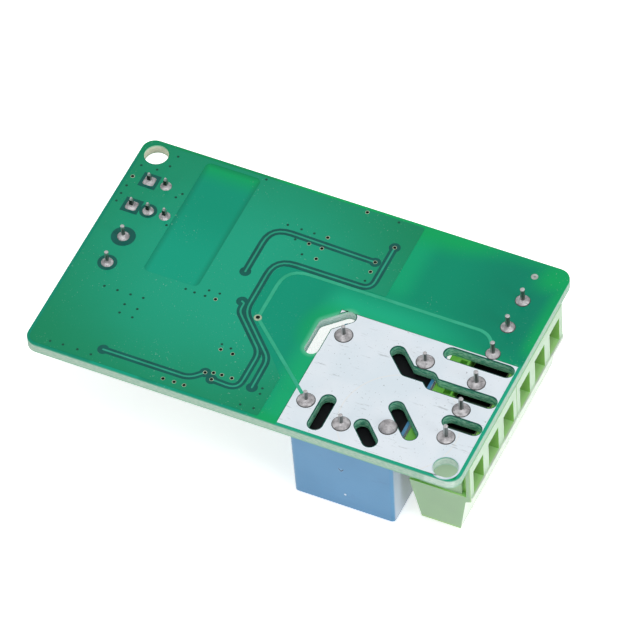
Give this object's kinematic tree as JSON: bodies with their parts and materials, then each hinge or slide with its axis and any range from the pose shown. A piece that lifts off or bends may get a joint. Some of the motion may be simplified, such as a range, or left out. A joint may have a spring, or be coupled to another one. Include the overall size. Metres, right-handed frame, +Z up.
{
  "type": "relay module board",
  "caption": "Green circuit board seen from its solder side, with milled gaps and solder joints, standing on a blue cube relay beside screw wire terminals.",
  "frame": {"origin": "middle of the whole part's outline, at the floor, which is the level of the relay's flat top as it lies", "axes": "+X along the board's long edge towards the wire terminals, +Y towards the edge away from the relay, +Z up, out of the board's solder side"},
  "size_m": [0.0656, 0.04, 0.0195],
  "materials": {
    "board_laminate": "glossy green solder mask over glass fibre, pale raw laminate at the cut edges",
    "relay_blue": "semi-gloss blue moulding",
    "potting_black": "dull black casting resin",
    "bright_solder": "bright tin solder",
    "tinned_pin": "dull tin plating",
    "terminal_green": "pale green moulding",
    "contact_plate": "nickel plating",
    "screw_steel": "zinc plating",
    "header_black": "satin black moulding",
    "can_aluminium": "bare aluminium",
    "sleeve_black": "shrunk film",
    "bung_rubber": "dull black rubber",
    "radio_laminate": "glossy black solder mask",
    "shield_metal": "satin nickel silver",
    "aerial_copper": "gold flash",
    "epoxy_black": "matt moulded epoxy",
    "chip_black": "black glaze",
    "chip_tan": "tan ceramic",
    "lamp_clear": "milky clear resin"
  },
  "bodies": {
    "board": {"circuit_board": "board_laminate", "relay_case": "relay_blue", "relay_potting": "potting_black", "relay_pins": "tinned_pin", "relay_solder": "bright_solder", "front_terminal_housing": "terminal_green", "back_terminal_housing": "terminal_green", "front_terminal_solder": "bright_solder", "back_terminal_solder": "bright_solder", "jumper_header_strip": "header_black", "serial_header_strip": "header_black", "jumper_header_pins": "tinned_pin", "serial_header_pins": "tinned_pin", "jumper_header_solder": "bright_solder", "serial_header_solder": "bright_solder", "capacitor_can": "can_aluminium", "capacitor_sleeve": "sleeve_black", "capacitor_bung": "bung_rubber", "capacitor_leads": "tinned_pin", "capacitor_solder": "bright_solder", "radio_board": "radio_laminate", "radio_shield": "shield_metal", "radio_aerial": "aerial_copper", "radio_joints": "bright_solder", "regulator_body": "epoxy_black", "regulator_leads": "tinned_pin", "transistor_body": "epoxy_black", "transistor_leads": "tinned_pin", "diode_bodies": "epoxy_black", "diode_leads": "tinned_pin", "optocoupler_body": "epoxy_black", "optocoupler_leads": "tinned_pin", "resistors": "chip_black", "ceramic_capacitors": "chip_tan", "indicator_lights": "lamp_clear", "chip_caps": "tinned_pin", "component_side_pads": "bright_solder", "terminal_contact_1": "contact_plate", "terminal_contact_2": "contact_plate", "terminal_contact_3": "contact_plate", "terminal_contact_4": "contact_plate", "terminal_contact_5": "contact_plate", "terminal_contact_6": "contact_plate"},
    "clamp_1": {"wire_clamp_1": "screw_steel"},
    "screw_1": {"terminal_screw_1": "screw_steel"},
    "clamp_2": {"wire_clamp_2": "screw_steel"},
    "screw_2": {"terminal_screw_2": "screw_steel"},
    "clamp_3": {"wire_clamp_3": "screw_steel"},
    "screw_3": {"terminal_screw_3": "screw_steel"},
    "clamp_4": {"wire_clamp_4": "screw_steel"},
    "screw_4": {"terminal_screw_4": "screw_steel"},
    "clamp_5": {"wire_clamp_5": "screw_steel"},
    "screw_5": {"terminal_screw_5": "screw_steel"},
    "clamp_6": {"wire_clamp_6": "screw_steel"},
    "screw_6": {"terminal_screw_6": "screw_steel"}
  },
  "joints": [
    {"name": "clamp_1_travel", "type": "slide", "parent": "board", "child": "clamp_1", "axis": [0, 0, 1], "range_m": [0, 0.00275]},
    {"name": "screw_1_turn", "type": "hinge", "parent": "clamp_1", "child": "screw_1", "pos_m": [0.02791, -0.0131, 0.01], "axis": [0, 0, 1], "range_deg": [0, 2201]},
    {"name": "clamp_2_travel", "type": "slide", "parent": "board", "child": "clamp_2", "axis": [0, 0, 1], "range_m": [0, 0.00275]},
    {"name": "screw_2_turn", "type": "hinge", "parent": "clamp_2", "child": "screw_2", "pos_m": [0.02791, -0.00802, 0.01], "axis": [0, 0, 1], "range_deg": [0, 2201]},
    {"name": "clamp_3_travel", "type": "slide", "parent": "board", "child": "clamp_3", "axis": [0, 0, 1], "range_m": [0, 0.00275]},
    {"name": "screw_3_turn", "type": "hinge", "parent": "clamp_3", "child": "screw_3", "pos_m": [0.02791, -0.00294, 0.01], "axis": [0, 0, 1], "range_deg": [0, 2201]},
    {"name": "clamp_4_travel", "type": "slide", "parent": "board", "child": "clamp_4", "axis": [0, 0, 1], "range_m": [0, 0.00275]},
    {"name": "screw_4_turn", "type": "hinge", "parent": "clamp_4", "child": "screw_4", "pos_m": [0.02791, 0.00263, 0.01], "axis": [0, 0, 1], "range_deg": [0, 2201]},
    {"name": "clamp_5_travel", "type": "slide", "parent": "board", "child": "clamp_5", "axis": [0, 0, 1], "range_m": [0, 0.00275]},
    {"name": "screw_5_turn", "type": "hinge", "parent": "clamp_5", "child": "screw_5", "pos_m": [0.02791, 0.00771, 0.01], "axis": [0, 0, 1], "range_deg": [0, 2201]},
    {"name": "clamp_6_travel", "type": "slide", "parent": "board", "child": "clamp_6", "axis": [0, 0, 1], "range_m": [0, 0.00275]},
    {"name": "screw_6_turn", "type": "hinge", "parent": "clamp_6", "child": "screw_6", "pos_m": [0.02791, 0.01279, 0.01], "axis": [0, 0, 1], "range_deg": [0, 2201]}
  ],
  "couplings": [
    {"joint": "screw_1_turn", "follows": "clamp_1_travel", "rad_per_m": 13963},
    {"joint": "screw_2_turn", "follows": "clamp_2_travel", "rad_per_m": 13963},
    {"joint": "screw_3_turn", "follows": "clamp_3_travel", "rad_per_m": 13963},
    {"joint": "screw_4_turn", "follows": "clamp_4_travel", "rad_per_m": 13963},
    {"joint": "screw_5_turn", "follows": "clamp_5_travel", "rad_per_m": 13963},
    {"joint": "screw_6_turn", "follows": "clamp_6_travel", "rad_per_m": 13963}
  ]
}
